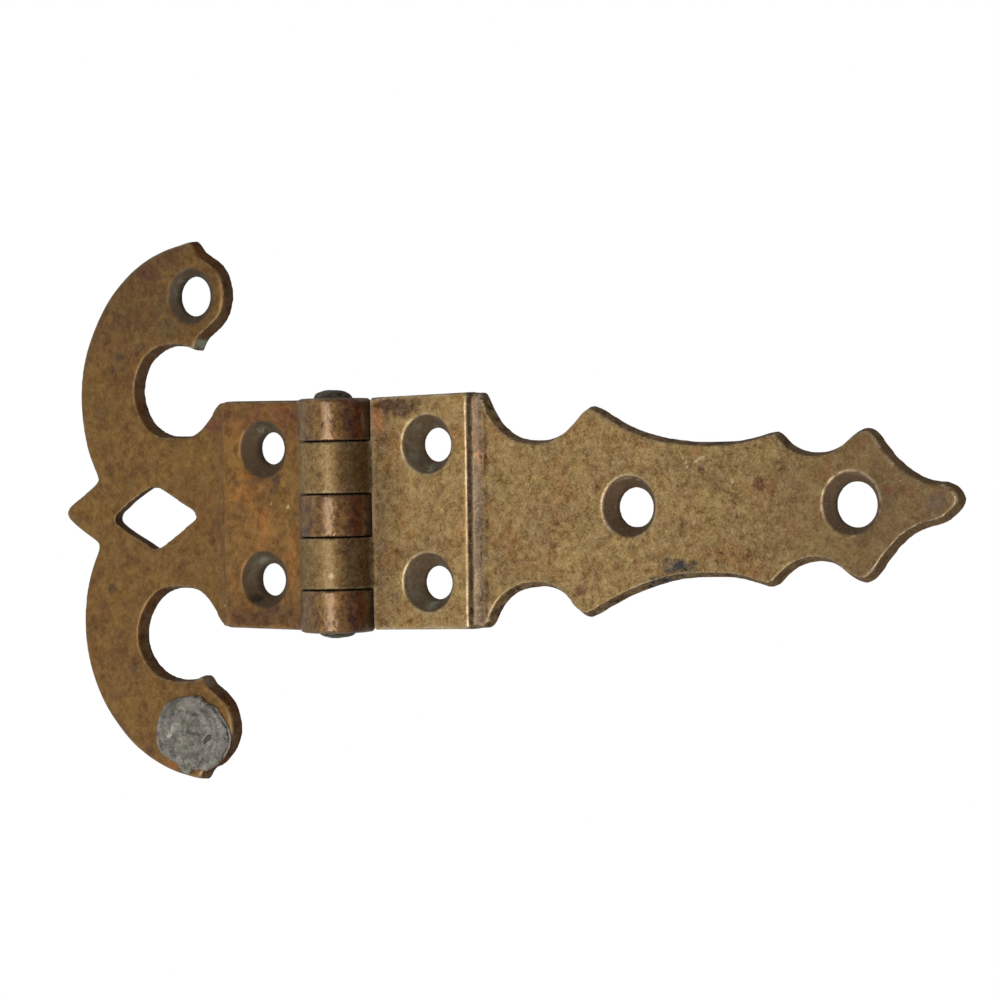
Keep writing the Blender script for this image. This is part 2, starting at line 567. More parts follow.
# ------------------------------------------------------------------ how far the walls are let out
def swelling(points, swells):
    x, _, z = points.T
    return sum(amount * np.exp(-(((x - sx) ** 2 + (z - sz) ** 2) / radius ** 2))
               for sx, sz, radius, amount in swells)


def slant(points, normals, level, front, back):
    """Walls that face the strap's tip lean: out by back at the back plane, front at the face."""
    tipward = ramp(normals[:, 0], 0.05, 0.45)
    lean = back + (front - back) * ramp(-points[:, 1], 0.2, 2.5)
    return level * (1 - tipward) + lean * tipward


def hold_fits(grow, points, normals, leaf):
    """Holds the holes, the barrel, the knuckle ends, the notch walls and the bore to their size."""
    x, _, z = points.T
    radius, _ = pin_polar(points)
    height = np.abs(z)
    for sink in leaf.sinks:
        grow = np.where(sink_polar(points, sink)[0] < 5.3, 0.03, grow)
    grow = np.where(radius < 6.6, 0.12 * (height > 16), grow)
    grow = np.where((radius < 9.5) & (np.abs(normals[:, 2]) > 0.6) & (height < 16), 0.0, grow)
    # notch walls, which face the other leaf when it folds
    grow = np.where((leaf.side * x < 6.8) & (leaf.side * normals[:, 0] < -0.3), 0.0, grow)
    return np.where(radius < 3.6, 0.0, grow)


def grow_strap(points, normals):
    x, y, z = points.T
    grow = 0.21 - 0.02 * ramp(x, 96, 106) + 0.05 * (z < -8) * (x < 60)
    grow = grow + swelling(points, STRAP_SWELLS)
    up = ramp(normals[:, 2], 0.2, 0.7)
    down = ramp(-normals[:, 2], 0.2, 0.7)
    past_pad = ramp(x, 24.8, 27.5)          # past the pad the long edges are filed to a slope
    lean = ramp(-y, 0.4, 2.4) * past_pad
    grow = slant(points, normals,
                 level=grow + 0.05 * past_pad - lean * (0.12 + 0.14 * up + 0.48 * down),
                 front=grow - 0.08 - 0.20 * down * past_pad,
                 back=grow + 0.07)
    return hold_fits(grow, points, normals, STRAP)


def grow_frame(points, normals):
    x, _, z = points.T
    grow = 0.21 + 0.05 * (x < -40) * (z > 4) + swelling(points, FRAME_SWELLS)
    grow = grow + 0.08 * (x > -26) * (z < -17) - 0.02 * (x > -26) * (z > 17)
    kite = (x > -50) & (x < -31) & (np.abs(z) < 6.4)
    kite_grow = 0.08 + 0.14 * ramp(x, -42, -34) * (z > 0) - 0.14 * ramp(-x, 42, 47)
    grow = np.where(kite, kite_grow, grow)
    scroll = 1 - ramp(x, -28, -25)
    lean = swelling(points, [(-43.5, 21.5, 11, 0.14), (-43.5, -21.5, 11, 0.14),
                             (-32.0, 46.3, 2.4, 0.26)])
    grow = slant(points, normals,
                 level=grow, front=grow - 0.10 - (0.36 - lean) * scroll, back=grow + 0.16)
    return hold_fits(grow, points, normals, FRAME)


# ------------------------------------------------------------------ colour, laid on point by point
class Skin:
    """The surface of one piece and the colour laid on it in layers."""

    def __init__(self, ob, points, base):
        set_points(ob, points)
        self.mesh = ob.data
        self.points = points
        self.x, self.y, self.z = points.T
        self.normals = read_normals(ob)
        self.edges = read_edges(ob)
        self.base = COLOUR[base]
        self.colour = np.repeat(self.base[None, :], len(points), 0)

    def bend(self, rings):
        return curvature(self.points, self.normals, self.edges, rings)

    def noise(self, size, seed, octaves, gain=0.5):
        return noise(self.points, size, seed, octaves, gain)

    def patch(self, size, seed, low, high, stretch_z=1.0):
        """Ragged patches: 0 where the warped noise is under low, 1 where it is over high."""
        points = self.points * np.array([1.0, 1.0, stretch_z])
        return ramp(warped(points, size, seed), low, high)

    def mix(self, target, weight):
        weight = np.clip(weight, 0, 1)[:, None]
        self.colour = self.colour * (1 - weight) + target * weight

    def lay(self, name, weight, shade=1.0):
        """Lays a named colour, times shade, as thickly as weight says."""
        self.mix(COLOUR[name] * np.asarray(shade), weight)

    def patches(self, mask, rows, stretch_z=1.0):
        """Rows: colour, shade, patch size, seed, low, high, amount."""
        for name, shade, size, seed, low, high, amount in rows:
            self.lay(name, mask * self.patch(size, seed, low, high, stretch_z) * amount, shade)

    def tarnish(self, tints, masks):
        """Tints of the base colour, as light or dark as the metal is at each point."""
        tone = (self.colour / self.base).mean(1)[:, None]
        for tint, size, seed, low, high, amount, where in tints:
            weight = self.patch(size, seed, low, high) * amount * masks[where]
            self.mix(self.base * np.array(tint) * tone, weight)

    def stain(self, stains, first_seed, soft):
        to_front = ramp(-self.normals[:, 1], 0.3, 0.7)
        for k, (name, *place, amount) in enumerate(stains):
            spot = ragged_spot(self.points, *place, first_seed + k, ragged=0.85, soft=soft)
            self.lay(name, spot * amount * to_front)

    def store(self, name, values):
        attribute = self.mesh.attributes.new(name, "FLOAT", "POINT")
        values = np.clip(np.zeros(len(self.points)) + values, 0, 1)
        attribute.data.foreach_set("value", values.astype(np.float32))

    def finish(self, worn, grime, dull, polish=0.0, calm=None):
        """Stores the colour and the masks that the metal's shader reads."""
        if calm is not None:
            self.store("calm", calm)
        rgba = np.ones((len(self.points), 4), np.float32)
        rgba[:, :3] = np.clip(self.colour, 0, 1)
        patina = self.mesh.color_attributes.new("patina", "FLOAT_COLOR", "POINT")
        patina.data.foreach_set("color", rgba.ravel())
        self.store("polish", polish)
        self.store("worn", worn)
        self.store("grime", grime)
        self.store("dull", dull)


class LeafSkin(Skin):
    """A leaf's skin, with masks for its barrel, faces, walls, countersinks and edges."""

    def __init__(self, ob, points, base, leaf, barrel):
        super().__init__(ob, points, base)
        self.on, self.phi, self.radius = barrel
        self.hollow = ramp(-self.bend(leaf.hollow_rings), *leaf.hollow)
        self.arris = ramp(self.bend(2), *leaf.arris)
        self.inside, self.rim = sink_fields(points, leaf.sinks)
        normal_y = self.normals[:, 1]
        self.face = ramp(-normal_y, 0.80, 0.95)
        self.wall = (1 - ramp(np.abs(normal_y), 0.45, 0.8)) * (1 - self.on)
        self.joints = knuckle_joints(self.z, self.radius, self.phi)
        self.mottle = self.noise(*leaf.mottle, 4, 0.6)

    def barrel_spot(self, phi, z, width_phi, width_z, seed):
        """Ragged spot on the barrel, centred at angle phi and height z."""
        unrolled = np.stack([self.phi / width_phi, self.z / width_z, self.phi * 0], 1)
        d = np.hypot((self.phi - phi) / width_phi, (self.z - z) / width_z)
        return self.on * (1 - ramp(d + 0.5 * noise(unrolled, 0.9, seed, 2), 0.5, 1.4))

    def darken_lows(self, dented, hollow_shade, hollow_amount, dent_shade, dent_amount):
        """Dark corners, dents and knuckle joints."""
        self.lay("strap_dark", self.hollow * (1 - self.inside) * hollow_amount, hollow_shade)
        self.lay("strap_dark", ramp(dented, 0.02, 0.07) * dent_amount, dent_shade)
        self.lay("black", self.joints)


# ------------------------------------------------------------------ strap leaf
def turn_grooves(points, normals):
    """Turned grooves left by the countersink in the two holes along the strap."""
    for sink in STRAP_SINKS[2:]:
        r, _ = sink_polar(points, sink)
        cone = ((1 - ramp(r, 4.6, 4.8)) * ramp(r, 3.1, 3.4)
                * (points[:, 1] > -sink.thick + 0.1))
        points = points - normals * (cone * 0.018 * np.sin(r * 13.0))[:, None]
    return points


def paint_strap_base(skin, calm):
    x = skin.x
    skin.lay("strap_far", ramp(x, 52, 104) * 0.95)
    skin.tarnish(STRAP_TINTS, {
        "all": 1.0, "zones": ramp(warped(skin.points, 13.0, 114, 2), -0.35, 0.25),
        "dark specks": 0.45 - 0.34 * calm, "light specks": 0.38 - 0.16 * calm})
    on_pad = ramp(-skin.y, 3.4, 3.7) * (1 - skin.on)
    lift = 0.09 * on_pad * ramp(x, 9, 15) + 0.05 * on_pad * ramp(x, 19, 22)
    skin.colour = skin.colour * (1 + lift)[:, None]


def paint_strap_knuckles(skin):
    """Darker, redder metal on the side of the knuckles towards the strap's tip."""
    x, z, on, phi = skin.x, skin.z, skin.on, skin.phi
    blotches = ramp(skin.mottle, -0.3, 0.3)
    reddish = on * ramp(phi, 26, 62)
    skin.lay("knuckle", on * 0.62)
    skin.lay("knuckle", on * (z < 0) * ramp(-phi, -20, 20) * 0.8, (0.84, 0.82, 0.70))
    skin.patches(on, [
        ("knuckle", (0.62, 0.56, 0.50), 0.9, 132, 0.16, 0.40, 0.34),
        ("knuckle", (1.45, 1.45, 1.40), 0.8, 133, 0.14, 0.38, 0.30)])
    skin.lay("knuckle_far", reddish * 0.85, (0.95, 0.95, 0.72))
    skin.lay("frame_orange", on * peak(phi, 40, 13) * blotches * 0.6, 0.55)
    stripes = value_noise(np.stack([phi * 0.11, z * 0.12, phi * 0], 1), 0.35, 131)
    skin.lay("knuckle_far", reddish * ramp(stripes, 0.1, 0.8) * ramp(phi, 60, 85) * 0.5, 1.9)
    skin.lay("dark_red", skin.barrel_spot(50, -5.6, 12, 1.3, seed=141) * 0.4, 0.8)
    behind = (ramp(x, 4.7, 5.1) * (1 - ramp(x, 6.4, 7.2)) * ramp(skin.y, -5.2, -4.6)
              * (1 - skin.face))
    behind = np.maximum(on * ramp(phi, 90, 100), behind)
    skin.lay("olive_grey", behind * (0.55 + 0.3 * blotches))
    skin.lay("pale", skin.barrel_spot(28, -9.8, 4, 0.5, seed=142) * 0.6)
    skin.lay("knuckle", skin.barrel_spot(8, 6.6, 6, 0.5, seed=143) * 0.7, 0.35)
    # grime in the angle between barrel and pad
    angle = peak(x, 7.3, 1.5) * (1 - on) * skin.face
    skin.lay("violet", angle * (0.38 + 0.3 * blotches))


def paint_strap_cove(skin):
    """The cove beside the pad: rubbed, pinkish grey, between a dark riser and a dark foot.
    Returns the lip along the pad's end."""
    y, z = skin.y, skin.z
    low = ramp(-y, 2.45, 2.62)
    past = skin.x - (24.605 + 0.00864 * z)            # distance from the pad's end
    wavy = past + 0.18 * skin.noise(2.5, 152, 3)
    cove = ramp(wavy, 0.85, 1.15) * (1 - ramp(wavy, 2.15, 2.6)) * low * (1 - skin.wall * 0.3)
    skin.lay("cove", cove * (0.75 + 0.25 * ramp(skin.noise(0.9, 113, 3, 0.6), -0.4, 0.3)))
    skin.patches(cove, [
        ("cove", 1.9, 1.1, 153, 0.06, 0.30, 0.55),
        ("strap_dark", 0.8, 1.5, 154, 0.06, 0.34, 0.65)], stretch_z=0.45)
    skin.patches(cove * peak(z, 10.5, 3.0), [("copper", 1.25, 1.6, 151, -0.02, 0.22, 0.9)])
    foot = peak(wavy, 2.95, 0.36) * low * ramp(skin.mottle, -0.6, 0.1)
    skin.lay("strap_dark", foot * 0.8, 0.7)
    riser = ramp(past, 0.06, 0.22) * (1 - ramp(wavy, 0.7, 1.05)) * (y > -3.86) * low
    skin.lay("strap_dark", riser * 0.85, 0.42)
    return peak(past, -0.05, 0.115) * ramp(-y, 3.4, 3.7)


def paint_strap_walls(skin, calm):
    """Walls: earthy, speckled light and dark."""
    wall = skin.wall
    skin.lay("strap_wall", wall * 0.85, (1.06 + 0.06 * calm)[:, None])
    skin.patches(wall, [
        ("strap_wall", 0.38, 1.3, 173, 0.0, 0.35, 0.75 - 0.45 * calm),
        ("strap_wall", 1.9, 0.9, 174, 0.12, 0.38, 0.60 - 0.40 * calm)])
    spot = ragged_spot(skin.points, 60.5, -10.9, 4.6, 1.4, seed=171, ragged=0.8)
    skin.lay("blue_black", wall * spot * ramp(skin.noise(0.7, 172, 2), -0.1, 0.25) * 0.9, 1.6)


def paint_strap_sinks(skin):
    inside = skin.inside
    skin.lay("sink", inside * 0.93, (1.04, 1.04, 1.06))
    skin.patches(inside, [
        ("verdigris", 1.0, 1.6, 161, 0.16, 0.44, (skin.x < 30) * 0.30),
        ("sink", 0.6, 1.8, 162, 0.14, 0.46, 0.30)])
    for sink in STRAP_SINKS[:2]:                      # green at the foot and the side of the cone
        r, angle = sink_polar(skin.points, sink)
        cone = (r < 5.2) * inside * ramp(r, 3.0, 3.5) * (1 - ramp(r, 4.2, 4.7))
        skin.patches(cone * peak(angle, -92, 14), [
            ("verdigris", 1.35, 1.3, 163, -0.45, 0.05, 0.95)])
        skin.patches(cone * peak(angle, -160, 26), [
            ("verdigris", 0.8, 1.3, 164, -0.30, 0.20, 0.60)])
    for sink, browned in zip(STRAP_SINKS[2:], (0.85, 0.34)):    # rubbed towards the top
        r, angle = sink_polar(skin.points, sink)
        here = (r < 5.2) * inside
        skin.lay("sink", here * peak(angle, 72, 24) * ramp(r, 4.0, 4.6) * 0.8, 1.9)
        skin.lay("sink", here * browned, (0.80, 0.69, 0.62))
    # two pale rings over the top of the middle hole
    r, angle = sink_polar(skin.points, STRAP_SINKS[2])
    rings = peak(angle, 82, 30) * (peak(r, 5.02, 0.13) + peak(r, 4.50, 0.12))
    skin.lay("pale", rings * ramp(skin.noise(0.8, 165, 2), -0.35, 0.1) * 0.85, 0.8)


def finish_strap(skin, calm, lip):
    on, inside = skin.on, skin.inside
    worn = skin.arris * (1 - 0.75 * on) * (0.45 + 0.55 * ramp(skin.noise(1.2, 181, 3), -0.35, 0.25))
    worn = np.maximum(worn, skin.rim * ramp(skin.noise(0.9, 182, 2), -0.4, 0.3) * 0.55)
    worn = worn * (1 - skin.joints)
    lip_worn = lip * (0.40 + 0.60 * ramp(skin.noise(1.1, 183, 2), -0.3, 0.3)) * 0.85
    worn = np.maximum(worn, lip_worn)
    sheltered = peak(skin.x, 7.2, 1.3) * (1 - on)
    skin.finish(
        worn=worn * ramp(-skin.y, 1.6, 2.2),          # only the show-face arrises are rubbed bright
        grime=np.maximum(skin.hollow, inside * 0.5),
        dull=np.max([inside * 0.75, skin.wall * 0.9, sheltered, on * 0.32], 0),
        polish=on * 0.25,
        calm=np.max([inside * 0.60, calm * 0.50, on * 0.42], 0))


def build_strap():
    ob = fine_copy("strap_leaf", "strap_leaf_cast")
    points, normals = cast_surface(ob, STRAP, grow_strap)
    barrel = barrel_fields(points)
    points, dented = dent(points, normals, barrel, STRAP)
    points = turn_grooves(points, normals)
    keep_behind_back(points)
    skin = LeafSkin(ob, points, "strap", STRAP, barrel)
    calm = ramp(skin.x, 74, 94)                       # the metal is less speckled near the tip
    paint_strap_base(skin, calm)
    paint_strap_knuckles(skin)
    skin.stain(STRAP_STAINS, first_seed=200, soft=0.38)
    for k, (*place, name, amount) in enumerate(STRAP_MARKS):
        skin.lay(name, stroke(points, *place, 260 + k) * amount * skin.face)
    lip = paint_strap_cove(skin)
    paint_strap_walls(skin, calm)
    paint_strap_sinks(skin)
    skin.darken_lows(dented, hollow_shade=0.7, hollow_amount=0.55, dent_shade=0.8, dent_amount=0.6)
    finish_strap(skin, calm, lip)
    return ob


# ------------------------------------------------------------------ frame leaf
def paint_frame_base(skin):
    x = skin.x
    skin.lay("frame_pad", ramp(x, -27.5, -24.5))
    skin.lay("frame_high", ramp(skin.z, 12, 40) * (x < -26) * 0.75)
    skin.tarnish(FRAME_TINTS, {
        "all": 1.0, "zones": ramp(warped(skin.points, 14.0, 314, 2), -0.3, 0.3),
        "pad": ramp(x, -25.5, -23)})


def paint_frame_knuckles(skin):
    on, phi = skin.on, skin.phi
    middle = np.abs(skin.z) < 3.6
    skin.lay("knuckle", on * 0.90, (0.74, 0.55, 0.13))
    skin.lay("knuckle", on * middle * ramp(-phi, -16, 10) * 0.8, (0.54, 0.36, 0.09))
    skin.patches(on, [
        ("knuckle", (0.52, 0.41, 0.24), 1.0, 332, 0.10, 0.36, 0.55),
        ("knuckle", (1.40, 1.34, 1.10), 0.8, 333, 0.16, 0.38, 0.35)])
    skin.lay("frame_orange", on * peak(phi, 42, 11) * ramp(skin.mottle, -0.4, 0.2) * 0.7, 0.8)
    skin.lay("knuckle_red", on * ramp(phi, 24, 58) * ramp(phi, 44, 66) * 0.9)
    skin.lay("black", on * ramp(phi, 94, 99) * 0.95, 1.2)
    skin.lay("glint", on * peak(phi, 88, 4.0) * ramp(skin.noise(2.2, 342, 3), -0.15, 0.3) * 0.75)
    skin.patches(on * middle * peak(phi, -4, 9), [
        ("frame_orange", 1.0, 1.6, 343, -0.05, 0.3, 0.5)])
    skin.lay("tan", skin.barrel_spot(1, 2.6, 6, 0.7, seed=341) * 0.45)


def paint_frame_pad(skin):
    """Orange bloom across the pad, running a little up and down it. Returns the line at its end."""
    x, z = skin.x, skin.z
    height = np.abs(z)
    off_barrel = 1 - skin.on
    bloom = ramp(x, -25, -23) * (1 - ramp(x, -9.5, -8)) * skin.face
    skin.patches(bloom * (1 - ramp(height, 11, 15) * 0.8), [
        ("frame_orange", 1.0, 3.0, 351, 0.05, 0.36, 0.50)], stretch_z=0.6)
    skin.mix(skin.colour * np.array([0.80, 0.74, 0.66]),
             ramp(x, -26, -24) * ramp(height, 11.5, 15.5) * off_barrel * 0.9)
    skin.patches(bloom * ramp(z, 13, 18), [("frame_red", 1.0, 2.6, 352, -0.10, 0.3, 0.55)])
    skin.patches(bloom, [("dark", 1.0, 1.7, 353, 0.18, 0.42, 0.40)], stretch_z=0.6)
    # soft light line where the pad's end falls away
    crease = peak(x + 0.10 * skin.mottle, -24.75, 0.42) * ramp(-skin.y, 2.55, 2.7)
    skin.lay("crease", crease * (0.62 + 0.75 * skin.noise(3.0, 356, 2)))
    skin.lay("crease", peak(x, -6.5, 0.5) * skin.face * off_barrel * 0.45, 0.85)
    return crease


def paint_frame_walls(skin):
    wall, points = skin.wall, skin.points
    skin.lay("wall", wall * 0.88, (1.24, 1.26, 1.34))
    top = ramp(skin.normals[:, 2], 0.15, 0.65) * (skin.x < -26) * (skin.z > 38)
    skin.lay("frame_high", wall * top * 0.85, 0.9)
    skin.patches(wall, [
        ("wall", 0.5, 1.8, 363, 0.0, 0.4, 0.55), ("wall", 1.6, 1.3, 364, 0.12, 0.4, 0.40),
        ("knuckle_red", 1.0, 2.0, 361, 0.06, 0.36, 0.5)])
    upper = ragged_spot(points, -30.3, 29.3, 1.3, 0.8, seed=362, ragged=0.5, soft=0.4)
    skin.lay("verdigris", wall * upper * 0.85, 1.05)
    lower = ragged_spot(points, -31.0, -28.2, 1.2, 0.9, seed=365, ragged=0.5, soft=0.5)
    skin.mix(COLOUR["sink"] * 0.9 + COLOUR["verdigris"] * 0.25, wall * lower * 0.8)


def paint_frame_sinks(skin):
    inside = skin.inside
    top = skin.z > 30
    skin.lay("sink", inside * 0.93, 0.88)
    skin.patches(inside, [
        ("verdigris", 0.9, 1.4, 371, 0.16, 0.42, 0.22 + 0.40 * top),
        ("sink", 0.4, 1.6, 372, 0.14, 0.46, 0.35 + 0.25 * top)])
    greyed = inside * top * ramp(skin.noise(2.0, 375, 2), -0.4, 0.3)
    skin.lay("sink", greyed * 0.55, (0.55, 0.60, 0.62))
    for sink in FRAME_SINKS[2:]:                      # rubbed grey round the top of the pad's holes
        r, angle = sink_polar(skin.points, sink)
        skin.patches(inside * peak(angle, 112, 26) * peak(r, 3.5, 0.55), [
            ("verdigris", 1.15, 1.0, 373, -0.35, 0.15, 0.85)])
    spot = ragged_spot(skin.points, -19.0, -14.0, 1.2, 0.6, seed=374, ragged=0.8)
    skin.lay("dark", inside * spot * 0.85, 0.6)


def finish_frame(skin, crease):
    on, inside, wall = skin.on, skin.inside, skin.wall
    worn = skin.arris * (1 - 0.75 * on) * (0.4 + 0.6 * ramp(skin.noise(1.6, 381, 3), -0.35, 0.3))
    skin.finish(
        worn=worn * ramp(-skin.y, 1.6, 2.2) * 0.75 * (1 - skin.joints),
        grime=np.maximum(skin.hollow, inside * 0.7),
        dull=np.max([inside * 0.8, wall * 0.9, crease * 0.8], 0),
        polish=on * 0.9,
        calm=np.maximum(inside * 0.55, wall * 0.35))


def build_frame():
    ob = fine_copy("frame_leaf", "frame_leaf_cast")
    points, normals = cast_surface(ob, FRAME, grow_frame)
    barrel = barrel_fields(points)
    points, dented = dent(points, normals, barrel, FRAME)
    keep_behind_back(points)
    skin = LeafSkin(ob, points, "frame", FRAME, barrel)
    paint_frame_base(skin)
    paint_frame_knuckles(skin)
    skin.stain(FRAME_STAINS, first_seed=400, soft=0.40)
    crease = paint_frame_pad(skin)
    paint_frame_walls(skin)
    paint_frame_sinks(skin)
    skin.darken_lows(dented, hollow_shade=0.55, hollow_amount=0.5, dent_shade=0.6, dent_amount=0.45)
    finish_frame(skin, crease)
    return ob


# ------------------------------------------------------------------ pin and filling
def smoothed(ob, steps):
    """Smooths a piece. Returns its points and normals."""
    points = laplace(read_points(ob), read_edges(ob), steps)
    set_points(ob, points)
    return points, read_normals(ob)


def build_pin():
    ob = fine_copy("hinge_pin", "pin_riveted")
    points, normals = smoothed(ob, steps=3)
    x, y, z = points.T
    head = ramp(np.abs(z), 19.15, 19.45)
    radius = np.hypot(x, y - PIN_Y)
    angle = np.arctan2(y - PIN_Y, x)
    # hammered facets on the riveted heads
    facets = 0.05 * ramp(radius, 1.6, 3.0) * np.sin(angle * 5 + 1.3) * 0.6
    relief = 0.09 * noise(points, 1.5, 501, 2) + 0.035 * noise(points, 0.6, 502, 2) + facets
    points = points + normals * (head * relief)[:, None]
    # the shank is a little thinner than drawn
    shank = (1 - head) * ramp(19.1 - np.abs(points[:, 2]), 0.0, 0.6)
    scale_about_pin(points, 1 - 0.05 * shank)

    skin = Skin(ob, points, "pin")
    cloud = skin.noise(1.2, 511, 3)
    skin.lay("pin", ramp(cloud, 0.05, 0.5) * 0.6, 1.7)
    skin.lay("pin", ramp(-cloud, 0.05, 0.5) * 0.6, 0.5)
    skin.lay("dark_red", ramp(skin.noise(0.5, 512, 3), 0.2, 0.5) * 0.4)
    skin.finish(worn=ramp(skin.bend(3), 0.03, 0.1) * 0.35 * head, grime=0.0, dull=head * 0.2)
    return ob


def build_plug():
    ob = fine_copy("lead_plug", "filling_lump")
    points, normals = smoothed(ob, steps=5)
    x, y, z = points.T
    proud = ramp(-y, 2.75, 3.0)
    r = np.hypot(x - PLUG_X, z - PLUG_Z)
    angle = np.arctan2(z - PLUG_Z, x - PLUG_X)
    # smeared in a swirl, crumbly towards its edge, and pressed down round the rim
    swirl = np.stack([r, (angle + r * 0.22) * 1.5, 0 * r], 1)
    cuts = 0
    for k, (*place, strength) in enumerate(PLUG_CUTS):
        cuts = np.maximum(cuts, stroke(points, *place, 640 + 2 * k) * strength)
    cuts = cuts * proud
    shine = stroke(points, -36.93, -36.46, -37.65, -37.78, width=0.55, seed=650) * proud
    fold = warped(points, 2.4, 606, octaves=2, gain=0.5, push=0.9)
    relief = (0.24 * noise(points, 2.8, 601, 2) + 0.20 * noise(swirl, 1.1, 602, 2)
              + 0.16 * (1 - 2 * np.abs(fold)) + 0.05 * noise(points, 0.8, 603, 2))
    relief = relief - 0.22 * ramp(r, 5.2, 7.6) + 0.04 - 0.42 * cuts
    points = points + normals * (relief * proud)[:, None]
    side = proud * (1 - ramp(-normals[:, 1], 0.3, 0.7))
    points = points + normals * (side * 0.30 * noise(points, 1.0, 605, 3, 0.6))[:, None]
    # its +X edge is cut back
    cut_back = 0.28 * peak(np.degrees(angle), 22, 32) * ramp(r, 4.0, 7.0) * proud
    points[:, 0] -= np.cos(angle) * cut_back
    points[:, 2] -= np.sin(angle) * cut_back

    skin = Skin(ob, points, "lead")
    bend = skin.bend(3)
    smear = noise(swirl, 1.0, 611, 3)
    cloud = warped(points, 1.5, 612, octaves=3, gain=0.5, push=0.9)
    skin.patches(1.0, [
        ("lead_lilac", 1.0, 3.0, 613, -0.1, 0.3, 0.7),
        ("lead_green", 1.0, 2.2, 614, 0.05, 0.35, 0.6)])
    for weight, amount, shade in [
            (ramp(smear, 0.0, 0.4), 0.70, 1.55), (ramp(-smear, 0.05, 0.4), 0.60, 0.56),
            (ramp(cloud, 0.14, 0.40), 0.50, 1.8), (ramp(-cloud, 0.14, 0.40), 0.50, 0.46),
            (ramp(-bend, 0.02, 0.09), 0.6, 0.45), (ramp(bend, 0.02, 0.08), 0.45, 2.0),
            (cuts, 0.8, 0.30), (shine, 0.8, 2.6)]:
        skin.lay("lead", weight * amount, shade)
    skin.lay("lead_green", ragged_spot(points, -39.58, -31.9, 0.9, 0.7, seed=651) * 0.8, 0.9)
    skin.finish(worn=ramp(bend, 0.02, 0.1) * 0.3, grime=ramp(-bend, 0.02, 0.1), dull=proud * 0.2)
    return ob


# ------------------------------------------------------------------ materials
class Nodes:
    """Short hand for building a node tree. A value may be a number, a tuple or a socket."""

    def __init__(self, owner):
        owner.use_nodes = True
        self.tree = owner.node_tree
        self.tree.nodes.clear()

    def new(self, kind, inputs=None, **settings):
        node = self.tree.nodes.new(kind)
        for name, value in settings.items():
            setattr(node, name, value)
        for name, value in (inputs or {}).items():
            if isinstance(value, bpy.types.NodeSocket):
                self.tree.links.new(value, node.inputs[name])
            else:
                node.inputs[name].default_value = value
        return node

    def noise(self, vector, scale, detail, rough=0.5, distortion=0.0):
        return self.new("ShaderNodeTexNoise", {
            "Vector": vector, "Scale": scale, "Detail": detail, "Roughness": rough,
            "Distortion": distortion}).outputs["Fac"]

    def math(self, operation, a, b, clamp=False):
        return self.new("ShaderNodeMath", {0: a, 1: b},
                        operation=operation, use_clamp=clamp).outputs[0]

    def plus(self, a, b, clamp=False):
        return self.math("ADD", a, b, clamp)

    def minus(self, a, b, clamp=False):
        return self.math("SUBTRACT", a, b, clamp)

    def times(self, a, b, clamp=False):
        return self.math("MULTIPLY", a, b, clamp)

    def vector(self, operation, inputs):
        return self.new("ShaderNodeVectorMath", inputs, operation=operation).outputs[0]

    def remap(self, value, low, high, to_low=0.0, to_high=1.0, kind="SMOOTHSTEP"):
        return self.new("ShaderNodeMapRange", {
            "Value": value, "From Min": low, "From Max": high, "To Min": to_low,
            "To Max": to_high}, interpolation_type=kind).outputs["Result"]

    def swing(self, value, low, high, reach):
        """Straight-line map of low..high to -reach..reach."""
        return self.remap(value, low, high, -reach, reach, kind="LINEAR")

    def blend(self, kind, factor, a, b):
        if isinstance(b, tuple):
            b = (*b, 1.0)
        return self.new("ShaderNodeMix", {0: factor, 6: a, 7: b}, data_type="RGBA",
                        blend_type=kind, clamp_result=False).outputs[2]

    def attribute(self, name, output="Fac"):
        return self.new("ShaderNodeAttribute", attribute_name=name).outputs[output]


def threads(n, position, scale, width, seed):
    """Thin curved lines where a smooth noise crosses its middle, kept in scattered lengths."""
    offset = (0.013 * seed, 0.031 * seed, 0.017 * seed)
    shifted = n.vector("ADD", {0: position, 1: offset})
    field = n.noise(shifted, scale, detail=1.0, rough=0.45, distortion=0.6)
    line = n.math("ABSOLUTE", n.minus(field, 0.5), 0.0)
    line = n.remap(line, 0.0, width, 1.0, 0.0)
    keep = n.remap(n.noise(shifted, scale * 0.62, detail=1.0), 0.50, 0.62)
    return n.times(line, keep, clamp=True)


def speckle(n, colour, lightness):
    """Nearly neutral speckle: lifts and drops all three channels by about the same visible step."""
    step = n.new("ShaderNodeGamma", {"Color": colour, "Gamma": 0.56}).outputs[0]
    step = n.vector("SCALE", {0: step, 3: n.times(lightness, 0.55)})
    colour = n.vector("ADD", {0: colour, 1: step})
    return n.vector("MAXIMUM", {0: colour, 1: (0.0015, 0.0012, 0.001)})


def fleck(n, colour, position, grain):
    """Warm and olive flecks."""
    warm = n.remap(n.noise(position, 1500, 3.0, 0.65, 0.8), 0.57, 0.70)
    warm = n.times(warm, 0.45 * grain, clamp=True)
    colour = n.blend("MULTIPLY", warm, colour, (0.80, 0.62, 0.52))
    olive = n.remap(n.noise(position, 1250, 3.0, 0.65, 0.8), 0.33, 0.45, 1.0, 0.0)
    olive = n.times(olive, 0.40 * grain, clamp=True)
    return n.blend("MULTIPLY", olive, colour, (1.12, 1.18, 1.02))


